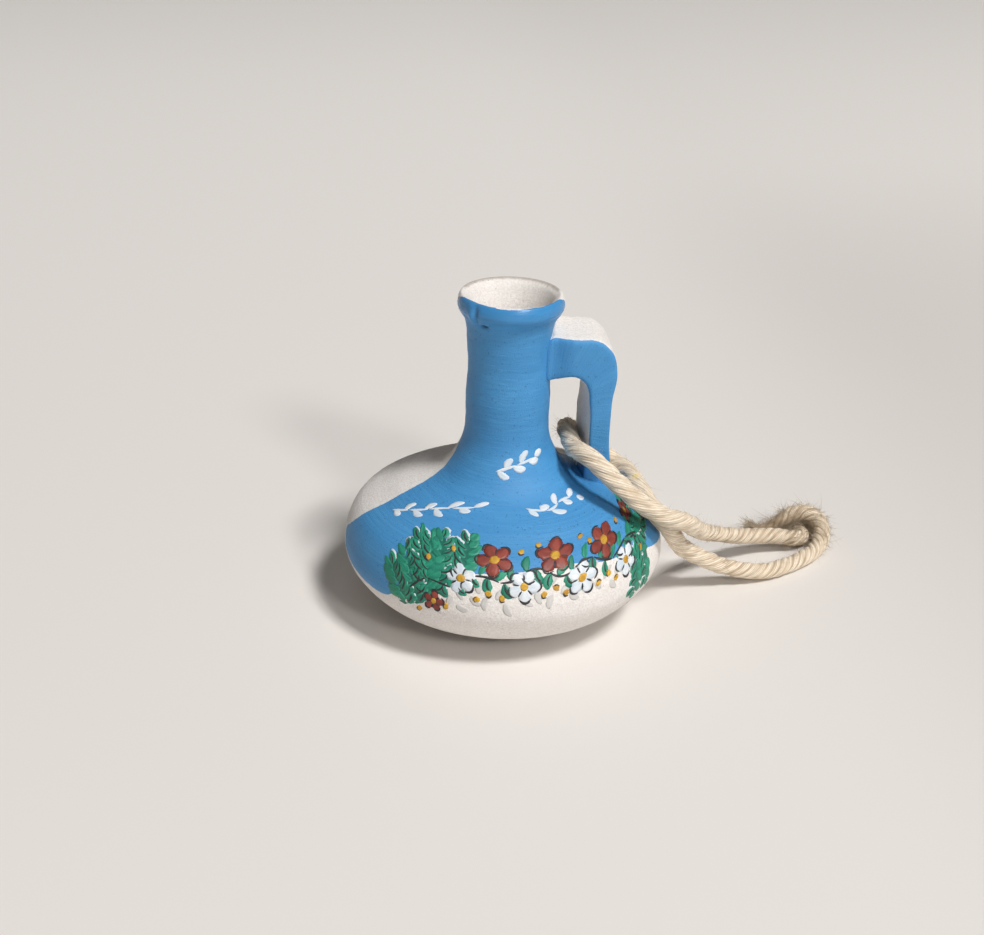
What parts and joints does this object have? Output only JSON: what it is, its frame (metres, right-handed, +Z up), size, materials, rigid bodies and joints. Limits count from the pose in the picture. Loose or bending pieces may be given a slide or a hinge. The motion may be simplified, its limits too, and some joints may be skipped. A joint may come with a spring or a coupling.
{
  "type": "miniature handled jug",
  "caption": "Miniature bisque jug with a squat body, tall neck and square strap handle, with a knotted cotton cord looped through the handle's eye.",
  "frame": {"origin": "middle of the foot, on the surface that the jug stands on", "axes": "+Z up along the neck, +X from the neck towards the handle, +Y to the back when the handle is on the right"},
  "size_m": [0.0789, 0.047, 0.0484],
  "materials": {
    "vessel": "matt bisque, hand painted in blue",
    "handle": "matt bisque, painted blue on one side",
    "cord": "twisted cotton"
  },
  "bodies": {
    "jug": {"vessel": "vessel", "handle": "handle"},
    "bight": {"cord_bight": "cord"},
    "loop": {"cord_far_strand": "cord", "cord_near_strand": "cord", "cord_knot_ring": "cord", "cord_tail_loose": "cord", "cord_tail_tucked": "cord"}
  },
  "joints": [
    {"name": "bight_slide", "type": "slide", "parent": "jug", "child": "bight", "axis": [0, 0, 1], "range_m": [0, 0.007]},
    {"name": "loop_lift", "type": "hinge", "parent": "bight", "child": "loop", "pos_m": [0.0094, 0, 0.0258], "axis": [0, -1, 0], "range_deg": [0, 75]}
  ]
}
